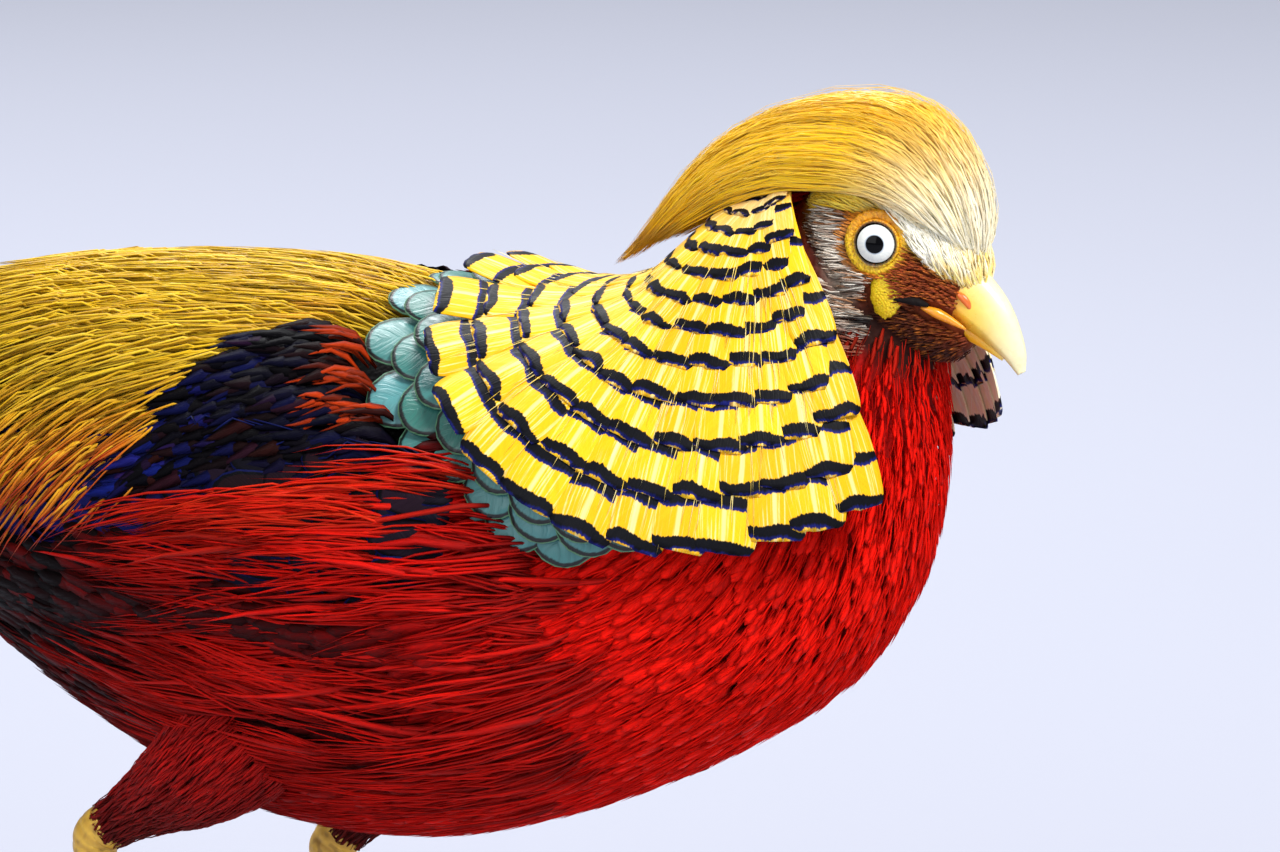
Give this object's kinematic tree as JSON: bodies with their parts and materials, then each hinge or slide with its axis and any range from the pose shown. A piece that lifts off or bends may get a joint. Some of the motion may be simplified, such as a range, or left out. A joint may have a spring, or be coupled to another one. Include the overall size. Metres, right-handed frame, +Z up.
{
  "type": "golden pheasant",
  "caption": "life-size golden pheasant cock standing at rest, crest laid back, barred cape over the neck, long tail held straight behind",
  "frame": {"origin": "middle of the underside of the bounding box, on the floor the bird stands on", "axes": "+X the way the bird faces, +Y its left side, +Z up"},
  "size_m": [0.924, 0.1322, 0.2782],
  "materials": {
    "body_plumage": "scarlet body feathers, golden on the back and rump, soft and silky",
    "cape_plumage": "yellow-gold square cape feathers with blue-black bars, satin",
    "head_plumage": "golden silky crest and rust-brown face",
    "wing_plumage": "blue-black and royal blue wing feathers, satin",
    "tail_plumage": "cinnamon and black mottled tail feathers",
    "bill": "smooth pale yellow horn",
    "eye": "wet pale ivory iris with black pupil",
    "thigh_plumage": "dark maroon short feathers",
    "leg_skin": "yellow scaled skin",
    "claw": "dull horn"
  },
  "bodies": {
    "root": {"bill_lower": "bill", "bill_upper": "bill", "claw_hind_left": "claw", "claw_hind_right": "claw", "claw_inner_left": "claw", "claw_inner_right": "claw", "claw_middle_left": "claw", "claw_middle_right": "claw", "claw_outer_left": "claw", "claw_outer_right": "claw", "eye_left": "eye", "eye_right": "eye", "foot_left": "leg_skin", "foot_right": "leg_skin", "head": "head_plumage", "neck": "cape_plumage", "shank_left": "leg_skin", "shank_right": "leg_skin", "spur_left": "claw", "spur_right": "claw", "tail": "tail_plumage", "thigh_left": "thigh_plumage", "thigh_right": "thigh_plumage", "torso": "body_plumage", "wing_left": "wing_plumage", "wing_right": "wing_plumage"}
  },
  "joints": []
}
